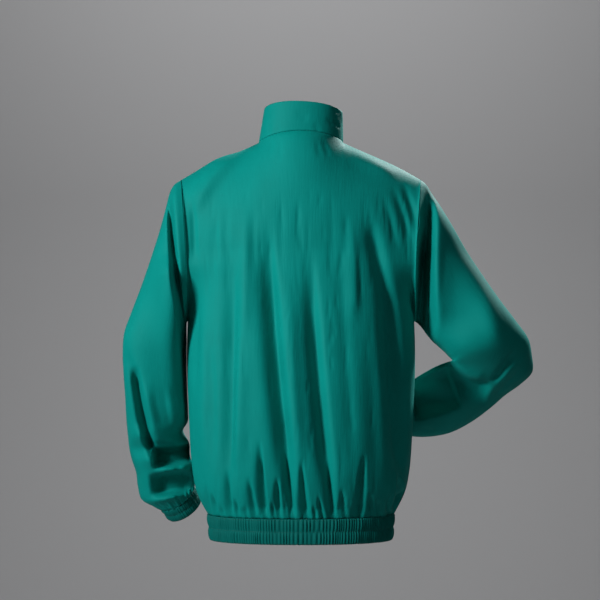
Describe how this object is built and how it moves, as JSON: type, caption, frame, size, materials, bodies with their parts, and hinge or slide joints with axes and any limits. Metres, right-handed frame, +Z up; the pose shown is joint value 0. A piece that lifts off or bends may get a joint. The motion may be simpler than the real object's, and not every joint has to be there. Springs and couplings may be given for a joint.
{
  "type": "windbreaker jacket",
  "caption": "Blouson windbreaker in its worn form, with a stand collar, centre-front zip, elastic cuffs and an elastic hem band, one sleeve hanging and one bent.",
  "frame": {"origin": "centre of the neck, level with the points where the neck and shoulder seams meet, where the wearer's neck and shoulders carry the jacket", "axes": "+Z up along the wearer's spine, -Y out of the front, +X towards the wearer's left"},
  "size_m": [0.6909, 0.3713, 0.7315],
  "materials": {
    "shell_cloth": "thin woven nylon with a faint sheen, teal green",
    "elastic_band": "the same nylon gathered over elastic, teal green",
    "zip_tape": "woven polyester tape, teal green",
    "zip_metal": "satin metal",
    "pull_tab": "dark moulded tab"
  },
  "bodies": {
    "jacket": {"back": "shell_cloth", "front_left": "shell_cloth", "front_right": "shell_cloth", "sleeve_left": "shell_cloth", "sleeve_right": "shell_cloth", "collar": "shell_cloth", "cuff_left": "elastic_band", "cuff_right": "elastic_band", "hem_band": "elastic_band", "zip_tape_left": "zip_tape", "zip_tape_right": "zip_tape", "zip_slider": "zip_metal"},
    "pull": {"zip_pull": "pull_tab"}
  },
  "joints": [
    {"name": "zip_pull_hinge", "type": "hinge", "parent": "jacket", "child": "pull", "pos_m": [0, -0.07292, 0.00575], "axis": [-1, 0, 0], "range_deg": [0, 160]}
  ]
}
